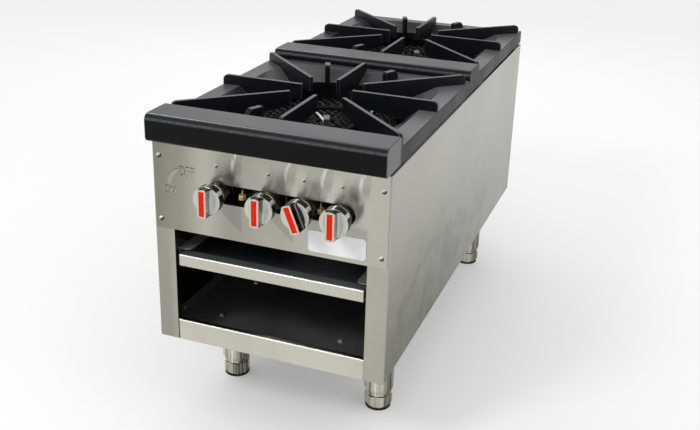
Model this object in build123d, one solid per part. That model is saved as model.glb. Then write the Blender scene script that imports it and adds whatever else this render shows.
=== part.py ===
from build123d import *
import math
import os

# Two-burner gas stock pot range, floor standing, 18 in wide and 42 in deep.
# Frame: +X to the right seen from the front, +Y to the back, +Z up. The origin is on the floor under the
# middle of the whole range. Dimensions in mm. Inside this file y = 0 is the front plane of the body and
# place() moves every piece from there to the frame of the part.

# ---- body ----
BODY_W = 457.2              # outer width over the side panels
BODY_D = 1066.8             # body depth, front plane to rear flange
BODY_BOTTOM = 174.0         # underside of the body above the floor
BODY_H = 403.0              # height of the side panels
SHEET = 1.2                 # stainless sheet thickness
POST_W = 38.7               # width of the front flange of each side panel
POST_RETURN = 14.0          # depth of its inner return
FLANGE = 25.0               # top, bottom and rear flanges of the side panels
PANEL_H = 171.4             # height of the control panel
RAIL_H = 42.5               # height of the bottom front rail
EDGE_GAP = 0.3              # clearance beside a sheet edge
HW = BODY_W / 2
POST_IN = HW - POST_W       # half width of the front opening
BODY_TOP = BODY_BOTTOM + BODY_H
OPENING_TOP = BODY_TOP - PANEL_H
RAIL_TOP = BODY_BOTTOM + RAIL_H
PAN_Z = BODY_BOTTOM + SHEET
BACK_Y = BODY_D - SHEET     # outer face of the back panel

# ---- controls ----
KNOB_X = (-99.0, 2.0, 70.0, 141.0)
KNOB_DROP = 84.3            # valve axes below the top of the body
KNOB_REST_TURN = (0.0, 0.0, 22.0, 0.0)   # degrees counter-clockwise seen from the front
KNOB_R = 26.5
KNOB_FACE = 42.0            # knob face in front of the body plane
KNOB_BACK = 25.0            # back of the chrome cap
HUB_R = 20.5
HUB_BACK = 12.0             # back of the knob hub
BAR_PROUD = 17.0            # grip bar in front of the face
BAR_W = 17.0
BAR_FILLET = 8.5            # concave root of the grip bar
INSERT_W = 10.5
INSERT_L = 47.0
INSERT_DEEP = 1.5
STEM_R = 4.0
STEM_FLAT = 2.8             # stem axis to the flat
RUN_FIT = 0.05              # radial clearance of turning and sliding fits
SLOT_H = 37.5
SLOT_X = (-121.0, 165.8)    # ends of the valve slot
SCREW_INSET = 13.3          # corner screws from the side
SCREW_RISE = 18.4           # lower corner screws above the panel's lower edge
SCREW_DROP = 29.0           # upper corner screws below its top edge
SMALL_SCREW_RISE = 51.8     # channel screws above the valve axes
SCREW_R = 2.4
SMALL_SCREW_R = 1.7
HOLE_FIT = 0.25             # radial clearance of a screw hole
PLATE_RISE = 28.7           # name plate centre above the panel's lower edge
PLATE_SIZE = (108.0, 40.5)
PLATE_INSET = 41.6          # name plate from the side of the body
PLATE_CORNER = 7.0
KNOB_Z = BODY_TOP - KNOB_DROP
PANEL_SCREW_X = HW - SCREW_INSET
PANEL_SCREW_Z = (OPENING_TOP + SCREW_RISE, BODY_TOP - SCREW_DROP)
SMALL_SCREW_Z = KNOB_Z + SMALL_SCREW_RISE
PLATE_X = HW - PLATE_INSET - PLATE_SIZE[0] / 2

# ---- gas train ----
PIPE_R = 13.35              # 3/4 in pipe
PIPE_BORE = 10.5
MANIFOLD_Y = 62.0
MANIFOLD_DROP = 38.0        # manifold below the valve axes
SUPPLY_X = -165.0
INLET_PROUD = 25.0          # supply pipe end behind the body
VALVE_BODY_R = 14.0
BONNET_R = 10.0
VALVE_BACK = 72.0           # back of the valve body
HOOD_R = 8.0
HOOD_L = 16.0               # outlet hood behind the valve body
LINE_R = 6.35               # gas lines to the rear burner
PILOT_X = (-62.0, 91.0)
PILOT_Y = 26.0
PILOT_TUBE_R = 3.2
PILOT_RISE = 6.3            # pilot tubes above the valve axes
PILOT_RISER = (62.0, 45.0)  # upright end of a pilot tube, beside and in front of the burner centre
MANIFOLD_Z = KNOB_Z - MANIFOLD_DROP
PILOT_RUN_Z = KNOB_Z + PILOT_RISE

# ---- grates ----
PAD_H = 3.0                 # feet of a casting on the side panels
SKIRT_H = 31.2              # height of a casting's skirt
LEDGE_H = 20.3              # front ledge above the plate
RIB_H = 20.8                # ribs above the plate
GRATE_INSET = 1.6           # castings inside the side panels
LEDGE_FRONT = -27.0         # front face of the front ledge
LEDGE_DEEP = 72.0
LEDGE_SLOPE = 14.0
LEDGE_ROUND = 13.0
BURNER_SET = 302.0          # ledge face to the centre of the ribs and of the burner
CASTING_GAP = 0.4           # between the two castings
WALL = 8.0                  # casting wall
SIDE_RIM = 37.0             # level rim beside and behind the dish
REAR_RIM = 30.9
DISH_SLOPE = (24.0, 38.0)   # sloping width at the sides and at the ends
DISH_CORNER = 100.0
HOLE_STRAIGHT = 32.0        # straight part of the shorter side of the burner opening
DISH_DROP = 19.0
RIB_T = 7.0
RIB_NOSE = 11.0
LUG_T = 11.0
LUG_ANGLE = 68.5
LUG_L = 38.0
PITCH = (BODY_D - LEDGE_FRONT) / 2      # length of one casting, and burner to burner
BURNER_Y = LEDGE_FRONT + BURNER_SET
GRATE_HW = HW - GRATE_INSET
GRATE_BOTTOM = BODY_TOP + PAD_H
PLATE_TOP = GRATE_BOTTOM + SKIRT_H
LEDGE_TOP = PLATE_TOP + LEDGE_H
RIB_TOP = PLATE_TOP + RIB_H
DISH_L = 2 * (PITCH - BURNER_SET - REAR_RIM)
DISH = (2 * (GRATE_HW - SIDE_RIM), DISH_L, DISH_CORNER)
HOLE_SIZE = (DISH[0] - 2 * DISH_SLOPE[0], DISH_L - 2 * DISH_SLOPE[1])
HOLE = (*HOLE_SIZE, (min(HOLE_SIZE) - HOLE_STRAIGHT) / 2)

# ---- burners ----
RING_DROP = 33.0            # underside of the rings below the top of the body
RING_H = 20.0
PORT_PROUD = 5.0
OUTER_RING = (98.0, 140.0)
INNER_RING = (22.0, 58.0)
VENTURI_R = 20.0
VENTURI_WALL = 3.0
VENTURI_GAP = 10.0          # mixer mouths behind the valve outlets
OUTER_MIX_X = -99.0         # mixer tube of the outer ring, in line with the first valve
INNER_MIX_X = 2.0
ARM_T = 8.0                 # thickness of the arms and ears that sit on the rails
RAIL_IN = 142.0             # inner edge of a burner rail
RAIL_W = 20.0
BURNER_RAIL_H = 14.5
ARM_LAP = 15.0              # lap of an arm on its rail
RING_BOTTOM = BODY_TOP - RING_DROP
RING_TOP = RING_BOTTOM + RING_H
RAIL_X = (RAIL_IN, RAIL_IN + RAIL_W)
RAIL_Z = (RING_BOTTOM - ARM_T - BURNER_RAIL_H, RING_BOTTOM - ARM_T)
HOOD_BACK = VALVE_BACK + HOOD_L
VENTURI_START = HOOD_BACK + VENTURI_GAP

# ---- drip tray ----
TRAY_GAP = 5.9              # tray inside the front opening, each side
TRAY_FRONT = 3.0
TRAY_SHORT = 61.8           # tray end before the back of the body
TRAY_DROP = 74.6            # tray floor below the control panel
TRAY_WALL = 21.0
LIP_H = 22.8
LIP_DEEP = 23.0
RUNNER_RISE = 30.2          # top flange of the runners above the tray floor
RUNNER_FLANGE = 26.0
SEAT_GAP = 0.3
TRAY_HW = POST_IN - TRAY_GAP
TRAY_BACK = BODY_D - TRAY_SHORT
TRAY_Z = (OPENING_TOP - TRAY_DROP, OPENING_TOP - TRAY_DROP + TRAY_WALL)
LIP_TOP = TRAY_Z[0] + LIP_H
RUNNER_TOP = TRAY_Z[0] + RUNNER_RISE

# ---- legs ----
LEG_INSET = 67.6            # leg axes from the sides of the body
LEG_FRONT = 187.0           # front leg axes from the front
LEG_REAR = 140.8            # rear leg axes from the back
LEG_R = 30.0
LEG_PLATE_T = 3.0
LEG_BOTTOM = 33.0
FOOT_TOP = 30.0
FOOT_FLAT = 49.0            # hexagon across flats
FOOT_STEM_R = 10.0
FLOOR_BOLT_X = (-154.0, 105.0)
BOLT_R = 4.0
LEG_X = HW - LEG_INSET
LEG_Y = (LEG_FRONT, BODY_D - LEG_REAR)

KNOB_REACH = KNOB_FACE + BAR_PROUD
FRONT_Y = -(BODY_D + INLET_PROUD - KNOB_REACH) / 2

os.makedirs("parts", exist_ok=True)


def place(name, shape):
    """Moves a piece from the body's front plane to the frame of the part and writes it."""
    export_step(Pos(0, FRONT_Y, 0) * shape, f"parts/{name}.step")


def box(x0, x1, y0, y1, z0, z1):
    """Box between two corners."""
    return Pos((x0 + x1) / 2, (y0 + y1) / 2, (z0 + z1) / 2) * Box(x1 - x0, y1 - y0, z1 - z0)


def rod_x(y, z, x0, x1, r):
    return Pos((x0 + x1) / 2, y, z) * Rot(0, 90, 0) * Cylinder(r, x1 - x0)


def rod_y(x, z, y0, y1, r):
    return Pos(x, (y0 + y1) / 2, z) * Rot(90, 0, 0) * Cylinder(r, y1 - y0)


def rod_z(x, y, z0, z1, r):
    return Pos(x, y, (z0 + z1) / 2) * Cylinder(r, z1 - z0)


def along_x(points, x0, x1):
    """Prism of a (y, z) outline between two x planes."""
    face = make_face(Polyline([(0, y, z) for y, z in points], close=True))
    return Pos(x0, 0, 0) * extrude(face, amount=x1 - x0, dir=(1, 0, 0))


def along_y(points, y0, y1):
    """Prism of an (x, z) outline between two y planes."""
    face = make_face(Polyline([(x, 0, z) for x, z in points], close=True))
    return Pos(0, y0, 0) * extrude(face, amount=y1 - y0, dir=(0, 1, 0))


def turned_y(points, x, z):
    """Solid of revolution about a line along Y; points are (radius, y)."""
    face = make_face(Polyline([(r, y, 0) for r, y in points], close=True))
    return Pos(x, 0, z) * revolve(face, Axis.Y)


def turned_z(points, x, y):
    """Solid of revolution about a vertical line; points are (radius, z)."""
    face = make_face(Polyline([(r, 0, z) for r, z in points], close=True))
    return Pos(x, y, 0) * revolve(face, Axis.Z)


def tube_path(points, radius, r):
    """Round bar along straight runs joined by arcs."""
    path = FilletPolyline(*points, radius=radius)
    section = Plane(origin=path @ 0, z_dir=path % 0) * Circle(r)
    return sweep(section, path=path)


def group(solids):
    """Identical separate pieces in one node."""
    return Compound(children=list(solids))


def mirror_x(shape):
    return mirror(shape, about=Plane.YZ)


# ---- side panels: outer skin with post, return, top, bottom and rear flanges ----
side = box(HW - SHEET, HW, 0, BODY_D, BODY_BOTTOM, BODY_TOP) + [
    box(POST_IN, HW, 0, SHEET, BODY_BOTTOM, BODY_TOP),
    box(POST_IN, POST_IN + SHEET, 0, POST_RETURN, BODY_BOTTOM, OPENING_TOP - SHEET),
    box(HW - FLANGE, HW, 0, BODY_D, BODY_BOTTOM, BODY_BOTTOM + SHEET),
    box(HW - FLANGE, HW, 0, BODY_D, BODY_TOP - SHEET, BODY_TOP),
    box(HW - FLANGE, HW, BODY_D - SHEET, BODY_D, BODY_BOTTOM, BODY_TOP),
]
side -= [rod_y(PANEL_SCREW_X, z, -1, 3, SCREW_R + HOLE_FIT) for z in PANEL_SCREW_Z]
BACK_SCREW_X = HW - FLANGE / 2
BACK_SCREW_Z = (BODY_BOTTOM + 56.0, (BODY_BOTTOM + BODY_TOP) / 2, BODY_TOP - 57.0)
side -= [rod_y(BACK_SCREW_X, z, BODY_D - 3, BODY_D + 1, SCREW_R + HOLE_FIT) for z in BACK_SCREW_Z]
place("side_panel_right", side)
place("side_panel_left", mirror_x(side))

# ---- back panel, inside the rear flanges ----
back_hw = HW - SHEET - EDGE_GAP
back = box(-back_hw, back_hw, BACK_Y - SHEET, BACK_Y, PAN_Z + EDGE_GAP, BODY_TOP - SHEET - EDGE_GAP)
back -= [rod_y(s * BACK_SCREW_X, z, BACK_Y - 3, BACK_Y + 1, SCREW_R + HOLE_FIT)
         for s in (-1, 1) for z in BACK_SCREW_Z]
back -= rod_y(SUPPLY_X, MANIFOLD_Z, BACK_Y - 3, BACK_Y + 1, PIPE_R + 1.2)
place("back_panel", back)


def pan_head_screw(x, z, y_face, r, head_r, head_h, length):
    """Round-head screw driven along +Y; its head bears on y_face and has a cross recess."""
    head = turned_y([(0, y_face), (head_r, y_face), (head_r, y_face - 0.35 * head_h),
                     (0.72 * head_r, y_face - 0.85 * head_h), (0, y_face - head_h)], x, z)
    cross = [box(x - a, x + a, y_face - head_h - 0.1, y_face - 0.6 * head_h, z - b, z + b)
             for a, b in ((0.55 * head_r, 0.13 * head_r), (0.13 * head_r, 0.55 * head_r))]
    return head + rod_y(x, z, y_face - 0.1, y_face + length, r) - cross


BACK_HEAD = 2.4
place("back_panel_screws", group(
    mirror(pan_head_screw(s * BACK_SCREW_X, z, -BODY_D, SCREW_R, 4.6, BACK_HEAD, 9.0), about=Plane.XZ)
    for s in (-1, 1) for z in BACK_SCREW_Z))

# ---- control panel: over the posts, with top and bottom flanges between them ----
panel_hw = HW - 2.4
panel = box(-panel_hw, panel_hw, -SHEET, 0, OPENING_TOP, BODY_TOP) + [
    box(-POST_IN + EDGE_GAP, POST_IN - EDGE_GAP, -SHEET, 20, BODY_TOP - SHEET, BODY_TOP),
    box(-POST_IN + EDGE_GAP, POST_IN - EDGE_GAP, -SHEET, 12, OPENING_TOP, OPENING_TOP + SHEET),
]
slot_mid, slot_len = sum(SLOT_X) / 2, SLOT_X[1] - SLOT_X[0]
slot = Plane(origin=(slot_mid, -3, KNOB_Z), z_dir=(0, 1, 0), x_dir=(1, 0, 0)) * SlotOverall(slot_len, SLOT_H)
panel -= extrude(slot, amount=6)
panel -= [rod_y(s * PANEL_SCREW_X, z, -3, 1, SCREW_R + HOLE_FIT) for s in (-1, 1) for z in PANEL_SCREW_Z]
panel -= [rod_y(x, SMALL_SCREW_Z, -3, 1, SMALL_SCREW_R + HOLE_FIT) for x in KNOB_X]
place("control_panel", panel)
place("control_panel_screws", group(
    pan_head_screw(s * PANEL_SCREW_X, z, -SHEET, SCREW_R, 4.6, 2.6, 9.0)
    for s in (-1, 1) for z in PANEL_SCREW_Z))
place("small_panel_screws", group(
    pan_head_screw(x, SMALL_SCREW_Z, -SHEET, SMALL_SCREW_R, 3.0, 1.8, 8.0) for x in KNOB_X))

plate = Plane(origin=(PLATE_X, -SHEET, OPENING_TOP + PLATE_RISE), z_dir=(0, -1, 0), x_dir=(1, 0, 0)) \
    * RectangleRounded(*PLATE_SIZE, PLATE_CORNER)
place("name_plate", extrude(plate, amount=0.5))

# ---- bottom front rail and base pan ----
rail_hw = POST_IN - EDGE_GAP
place("bottom_front_rail", box(-rail_hw, rail_hw, 0, SHEET, BODY_BOTTOM, RAIL_TOP) + [
    box(-rail_hw, rail_hw, 0, 22, BODY_BOTTOM, BODY_BOTTOM + SHEET),
    box(-rail_hw, rail_hw, 0, 10, RAIL_TOP - SHEET, RAIL_TOP),
])
pan_hw = HW - SHEET - 0.5
PAN_Y = (POST_RETURN + 0.6, BACK_Y - SHEET - 2.0)
PAN_SIDE = 24.0
pan = box(-pan_hw, pan_hw, *PAN_Y, PAN_Z, PAN_Z + SHEET) + [
    box(a, b, *PAN_Y, PAN_Z, PAN_Z + PAN_SIDE)
    for a, b in ((-pan_hw, -pan_hw + SHEET), (pan_hw - SHEET, pan_hw))]
FLOOR_BOLT_Y = (LEG_Y[0] - 78.0, LEG_Y[0] + 79.0, LEG_Y[1] - 79.0, LEG_Y[1] + 78.0)
floor_bolts = [(x, y) for y in FLOOR_BOLT_Y for x in FLOOR_BOLT_X]
pan -= [rod_z(x, y, PAN_Z - 1, PAN_Z + 3, BOLT_R + HOLE_FIT) for x, y in floor_bolts]
RIVET_INSET = 75.0
rivet_pitch = (PAN_Y[1] - PAN_Y[0] - 2 * RIVET_INSET) / 3
PAN_RIVET_Y = [PAN_Y[0] + RIVET_INSET + k * rivet_pitch for k in range(4)]
PAN_RIVET_Z = PAN_Z + 12.6
pan -= [rod_x(y, PAN_RIVET_Z, s * pan_hw - 3, s * pan_hw + 3, SMALL_SCREW_R + HOLE_FIT)
        for s in (-1, 1) for y in PAN_RIVET_Y]
place("base_pan", pan)


def pan_side_rivet(s, y):
    """Low dome rivet through the side flange of the base pan."""
    x_in = pan_hw - SHEET
    dome = turned_z([(0, 0), (3.6, 0), (3.2, 1.1), (1.8, 1.9), (0, 2.1)], 0, 0)
    shank = rod_z(0, 0, -SHEET - 0.4, 0.1, SMALL_SCREW_R)
    return Pos(s * x_in, y, PAN_RIVET_Z) * Rot(0, -90 * s, 0) * Rot(0, 0, 40) * (dome + shank)


place("pan_side_rivets", group(pan_side_rivet(s, y) for s in (-1, 1) for y in PAN_RIVET_Y))


def floor_bolt(x, y):
    """Dome-head bolt through the base pan and the leg plate, with its nut below."""
    top, low = PAN_Z + SHEET, PAN_Z - LEG_PLATE_T
    dome = turned_z([(0, top), (6.6, top), (6.0, top + 2.0), (3.4, top + 3.6), (0, top + 4.0)], 0, 0)
    nut = Pos(0, 0, low - 5.0) * extrude(RegularPolygon(7.2, 6), amount=5.0)
    return Pos(x, y, 0) * Rot(0, 0, 40) * (dome + rod_z(0, 0, low - 6.5, top + 0.1, BOLT_R) + nut)


place("floor_bolts", group(floor_bolt(x, y) for x, y in floor_bolts))

# ---- leg plates, leg tubes and adjustable feet ----
plate_hw = HW - FLANGE - 0.4
PLATE_Z = (PAN_Z - LEG_PLATE_T, PAN_Z)
STUD_R = 8.0
leg_plates = []
for y_leg, y0, y1 in ((LEG_Y[0], FLOOR_BOLT_Y[0] - 14, FLOOR_BOLT_Y[1] + 14),
                      (LEG_Y[1], FLOOR_BOLT_Y[2] - 14, FLOOR_BOLT_Y[3] + 14)):
    leg_plate = box(-plate_hw, plate_hw, y0, y1, *PLATE_Z)
    leg_plate -= [rod_z(s * LEG_X, y_leg, PLATE_Z[0] - 1, PLATE_Z[1] + 1, STUD_R + RUN_FIT) for s in (-1, 1)]
    leg_plate -= [rod_z(x, y, PLATE_Z[0] - 1, PLATE_Z[1] + 1, BOLT_R + HOLE_FIT)
                  for x, y in floor_bolts if y0 < y < y1]
    leg_plates.append(leg_plate)
place("leg_plates", group(leg_plates))

LEG_TAPER = (46.0, 37.0)
LEG_BUSH_TOP = 62.0
NECK_R = 26.5
leg_top = PLATE_Z[0]
leg = turned_z([(FOOT_STEM_R + RUN_FIT, LEG_BOTTOM), (NECK_R, LEG_BOTTOM), (NECK_R, LEG_TAPER[1]),
                (LEG_R, LEG_TAPER[0]), (LEG_R, leg_top), (STUD_R, leg_top), (STUD_R, PLATE_Z[1]),
                (0, PLATE_Z[1]), (0, leg_top - 4), (LEG_R - 2.5, leg_top - 4),
                (LEG_R - 2.5, LEG_BUSH_TOP), (FOOT_STEM_R + RUN_FIT, LEG_BUSH_TOP)], 0, 0)
hexagon = extrude(RegularPolygon(FOOT_FLAT / 2, 6, major_radius=False), amount=FOOT_TOP)
hexagon &= turned_z([(0, 0), (22.5, 0), (24.0, 1.5), (24.0, 3.0), (26.2, 7.0), (29.5, 12.0), (29.5, 27.5),
                     (27.0, FOOT_TOP), (0, FOOT_TOP)], 0, 0)
foot = hexagon + rod_z(0, 0, FOOT_TOP - 0.5, 100.0, FOOT_STEM_R)
corners = (("front_left", -1, 0), ("front_right", 1, 0), ("rear_left", -1, 1), ("rear_right", 1, 1))
for name, s, i in corners:
    place(f"leg_{name}", Pos(s * LEG_X, LEG_Y[i], 0) * leg)
    place(f"foot_{name}", Pos(s * LEG_X, LEG_Y[i], 0) * Rot(0, 0, 12 * s) * foot)

# ---- drip tray and its runners ----
tray = box(-TRAY_HW, TRAY_HW, TRAY_FRONT, TRAY_BACK, TRAY_Z[0], TRAY_Z[0] + SHEET) + [
    box(-TRAY_HW, -TRAY_HW + SHEET, TRAY_FRONT, TRAY_BACK, *TRAY_Z),
    box(TRAY_HW - SHEET, TRAY_HW, TRAY_FRONT, TRAY_BACK, *TRAY_Z),
    box(-TRAY_HW, TRAY_HW, TRAY_BACK - SHEET, TRAY_BACK, *TRAY_Z),
    box(-TRAY_HW, TRAY_HW, TRAY_FRONT, TRAY_FRONT + SHEET, TRAY_Z[0], LIP_TOP),
    box(-TRAY_HW, TRAY_HW, TRAY_FRONT, TRAY_FRONT + LIP_DEEP, LIP_TOP - SHEET, LIP_TOP),
    box(-TRAY_HW, TRAY_HW, TRAY_FRONT + LIP_DEEP - SHEET, TRAY_FRONT + LIP_DEEP, LIP_TOP - 7, LIP_TOP),
]
place("drip_tray", tray)

RUNNER_Y = (POST_RETURN + 1.0, TRAY_BACK + 35.0)
runner_low = TRAY_Z[0] - SEAT_GAP
web_x = POST_IN
runner = box(web_x, web_x + SHEET, *RUNNER_Y, runner_low - SHEET, RUNNER_TOP) + [
    box(web_x + SHEET - RUNNER_FLANGE, web_x + SHEET, *RUNNER_Y, RUNNER_TOP - SHEET, RUNNER_TOP),
    box(web_x - 17.0, web_x + SHEET, *RUNNER_Y, runner_low - SHEET, runner_low),
]
for y in (RUNNER_Y[0] + 45, sum(RUNNER_Y) / 2, RUNNER_Y[1] - 40):     # stand-offs welded to the side panel
    runner += [box(web_x, HW - SHEET, y - 20, y + 20, TRAY_Z[0] + 13, TRAY_Z[0] + 13 + SHEET),
               box(HW - 2 * SHEET, HW - SHEET, y - 20, y + 20, TRAY_Z[0] + 5, TRAY_Z[0] + 23)]
nose = Plane(origin=(web_x + SHEET - RUNNER_FLANGE, RUNNER_Y[0], RUNNER_TOP)) * (
    Pos(5, 5) * Rectangle(10, 10) - Pos(10, 10) * Circle(10))
runner -= extrude(nose, amount=-SHEET * 2)
place("tray_runner_right", runner)
place("tray_runner_left", mirror_x(runner))

# ---- cross channels and burner rails ----
CHANNEL_HW = POST_IN - 1.9
CHANNEL_Z = (RAIL_Z[0] - 1.5, SMALL_SCREW_Z + 11.5)
HANGER_X = (-124.0, 31.0)
HANGER_EDGE = 22.0          # hangers round the manifold's axis
CHANNEL_FLANGE = (20.0, 14.0)               # lower and upper
front_channel = box(-CHANNEL_HW, CHANNEL_HW, 0, 1.5, *CHANNEL_Z) + [
    box(-CHANNEL_HW, CHANNEL_HW, 0, CHANNEL_FLANGE[0], CHANNEL_Z[0], CHANNEL_Z[0] + 1.5),
    box(-CHANNEL_HW, CHANNEL_HW, 0, CHANNEL_FLANGE[1], CHANNEL_Z[1] - 1.5, CHANNEL_Z[1]),
    *[box(x - 1.5, x + 1.5, CHANNEL_FLANGE[0] - 8, MANIFOLD_Y + HANGER_EDGE,
          MANIFOLD_Z - HANGER_EDGE, CHANNEL_Z[0] + 0.5) for x in HANGER_X],
]
front_channel -= [rod_y(x, SMALL_SCREW_Z, -1, 3, SMALL_SCREW_R + HOLE_FIT) for x in KNOB_X]
front_channel -= [rod_x(MANIFOLD_Y, MANIFOLD_Z, x - 3, x + 3, PIPE_R + RUN_FIT) for x in HANGER_X]
place("front_channel", front_channel)
back_in = BACK_Y - SHEET
place("rear_channel", box(-CHANNEL_HW, CHANNEL_HW, back_in - 1.5, back_in, *CHANNEL_Z) + [
    box(-CHANNEL_HW, CHANNEL_HW, back_in - CHANNEL_FLANGE[0], back_in, CHANNEL_Z[0], CHANNEL_Z[0] + 1.5),
    box(-CHANNEL_HW, CHANNEL_HW, back_in - CHANNEL_FLANGE[1], back_in, CHANNEL_Z[1] - 1.5, CHANNEL_Z[1]),
])
burner_rail = box(*RAIL_X, 2.0, back_in - 2.0, RAIL_Z[1] - 1.5, RAIL_Z[1]) \
    + box(RAIL_X[1] - 1.5, RAIL_X[1], 2.0, back_in - 2.0, *RAIL_Z)
place("burner_rail_right", burner_rail)
place("burner_rail_left", mirror_x(burner_rail))

# ---- heat shields beside the burners and the baffle between them ----
SHIELD_X = HW - FLANGE - 0.2
SHIELD_END = 30.0           # shields from the front and the back
SHIELD_H = 107.0
SHIELD_Y = (SHIELD_END, BODY_D - SHIELD_END)
shield = box(SHIELD_X - SHEET, SHIELD_X, *SHIELD_Y, BODY_TOP - SHIELD_H, BODY_TOP - SHEET) \
    + box(SHIELD_X - SHEET, HW - SHEET - 0.5, *SHIELD_Y, BODY_TOP - 2 * SHEET, BODY_TOP - SHEET)
place("heat_shield_right", shield)
place("heat_shield_left", mirror_x(shield))
baffle_hw = SHIELD_X - SHEET
BAFFLE_Y = LEDGE_FRONT + PITCH
BAFFLE_FLANGE = 14.0
BAFFLE_Z = (KNOB_Z + 12.3, BODY_TOP - 4.0)
NOTCH_GAP = 2.0             # around a rail
baffle = box(-baffle_hw, baffle_hw, BAFFLE_Y, BAFFLE_Y + SHEET, *BAFFLE_Z) + [
    box(a, b, BAFFLE_Y, BAFFLE_Y + BAFFLE_FLANGE, *BAFFLE_Z)
    for a, b in ((-baffle_hw, -baffle_hw + SHEET), (baffle_hw - SHEET, baffle_hw))]
for a, b in (RAIL_X, (-RAIL_X[1], -RAIL_X[0])):
    baffle -= box(a - NOTCH_GAP, b + NOTCH_GAP, BAFFLE_Y - 1, BAFFLE_Y + 3,
                  BAFFLE_Z[0] - 1, RAIL_Z[1] + NOTCH_GAP)
place("middle_baffle", baffle)

# ---- manifold with its elbow, and the supply pipe to the rear inlet ----
ELBOW_R = 18.0
ELBOW_END = MANIFOLD_Y + 40


def elbow(x_end, y_end, r):
    """Round bend from the manifold line to the supply line."""
    return tube_path([(x_end, MANIFOLD_Y, MANIFOLD_Z), (SUPPLY_X, MANIFOLD_Y, MANIFOLD_Z),
                      (SUPPLY_X, y_end, MANIFOLD_Z)], 22, r)


manifold = rod_x(MANIFOLD_Y, MANIFOLD_Z, SUPPLY_X + 30, 172.0, PIPE_R) + [
    elbow(SUPPLY_X + 34, ELBOW_END, ELBOW_R),
    Pos(172, MANIFOLD_Y, MANIFOLD_Z) * Rot(0, 90, 0) * extrude(RegularPolygon(17, 6), amount=10),
]
manifold -= [rod_x(MANIFOLD_Y, MANIFOLD_Z, SUPPLY_X + 33, 168.0, PIPE_BORE),
             elbow(SUPPLY_X + 35, ELBOW_END + 1, PIPE_BORE),
             rod_y(SUPPLY_X, MANIFOLD_Z, ELBOW_END - 14, ELBOW_END + 1, PIPE_R + RUN_FIT)]
NIPPLE_R = 8.0
PILOT_NIPPLE_R = 5.0
manifold -= [rod_z(x, MANIFOLD_Y, MANIFOLD_Z, MANIFOLD_Z + 16, NIPPLE_R + RUN_FIT) for x in KNOB_X]
manifold -= [rod_y(x, MANIFOLD_Z, MANIFOLD_Y - 16, MANIFOLD_Y, PILOT_NIPPLE_R + RUN_FIT) for x in PILOT_X]
place("manifold_pipe", manifold)
SUPPLY_Y = (ELBOW_END - 13.5, BODY_D + INLET_PROUD)
LOCKNUT_T = 6.0
locknut = Plane(origin=(SUPPLY_X, BACK_Y, MANIFOLD_Z), z_dir=(0, 1, 0)) * RegularPolygon(20, 6)
place("supply_pipe", rod_y(SUPPLY_X, MANIFOLD_Z, *SUPPLY_Y, PIPE_R) + extrude(locknut, amount=LOCKNUT_T)
      - rod_y(SUPPLY_X, MANIFOLD_Z, SUPPLY_Y[0] - 1, SUPPLY_Y[1] + 1, PIPE_BORE))

# ---- gas valves, stems, bezels and knobs ----
BONNET_FRONT = -9.0
STEM_Y = (-34.0, 40.0)
for i, x in enumerate(KNOB_X):
    valve = turned_y([(0, BONNET_FRONT), (BONNET_R, BONNET_FRONT), (BONNET_R, 5), (17, 5), (17, 8.5),
                      (13, 8.5), (13, 11.5), (17, 11.5), (17, 15), (12, 15), (12, 34), (VALVE_BODY_R, 34),
                      (VALVE_BODY_R, VALVE_BACK), (HOOD_R, VALVE_BACK), (HOOD_R, HOOD_BACK), (0, HOOD_BACK)],
                     x, KNOB_Z)
    valve += rod_z(x, MANIFOLD_Y, MANIFOLD_Z + PIPE_BORE, KNOB_Z, NIPPLE_R)
    if i < 2:
        valve += rod_y(x, KNOB_Z, HOOD_BACK - 1, HOOD_BACK + 4, 3.5)
    valve -= rod_y(x, KNOB_Z, BONNET_FRONT - 1, STEM_Y[1] + 0.5, STEM_R + RUN_FIT)
    place(f"gas_valve_{i + 1}", valve)

    flat = box(-STEM_R, STEM_R, STEM_Y[0], -14, STEM_FLAT, STEM_R + 1)
    stem = Pos(x, 0, KNOB_Z) * Rot(0, -KNOB_REST_TURN[i], 0) * (rod_y(0, 0, *STEM_Y, STEM_R) - flat)
    place(f"valve_stem_{i + 1}", stem)

BEZEL = (-8.0, -3.5, 20.0)
place("bezel_rings", group(
    turned_y([(BONNET_R + RUN_FIT, BEZEL[0]), (BEZEL[2] - 3, BEZEL[0]), (BEZEL[2], BEZEL[0] + 2),
              (BEZEL[2], BEZEL[1]), (BONNET_R + RUN_FIT, BEZEL[1])], x, KNOB_Z) for x in KNOB_X))

half = BAR_W / 2
root = half + BAR_FILLET
BAR_FRONT = -KNOB_FACE - BAR_PROUD
arc_mid = BAR_FILLET * (1 - math.sqrt(0.5))
bar_half = make_face([
    ThreePointArc((root, -KNOB_FACE), (half + arc_mid, -KNOB_FACE - arc_mid),
                  (half, -KNOB_FACE - BAR_FILLET)),
    Polyline((half, -KNOB_FACE - BAR_FILLET), (half, BAR_FRONT), (0, BAR_FRONT), (0, -KNOB_FACE + 1),
             (root, -KNOB_FACE + 1), (root, -KNOB_FACE))])
bar_right = Pos(0, 0, -KNOB_R - 5) * extrude(bar_half, amount=2 * KNOB_R + 10, dir=(0, 0, 1))
bar = (bar_right + mirror_x(bar_right)) & rod_y(0, 0, BAR_FRONT, -KNOB_FACE + 1, KNOB_R)
knob = turned_y([(0, -KNOB_FACE), (KNOB_R - 0.8, -KNOB_FACE), (KNOB_R, -KNOB_FACE + 0.8),
                 (KNOB_R, -KNOB_BACK), (HUB_R, -KNOB_BACK), (HUB_R, -KNOB_BACK + 3.5),
                 (HUB_R - 1.5, -KNOB_BACK + 3.5),
                 (HUB_R - 1.5, -KNOB_BACK + 5.5), (HUB_R, -KNOB_BACK + 5.5), (HUB_R, -HUB_BACK - 1),
                 (HUB_R - 1, -HUB_BACK), (0, -HUB_BACK)], 0, 0) + bar
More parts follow.
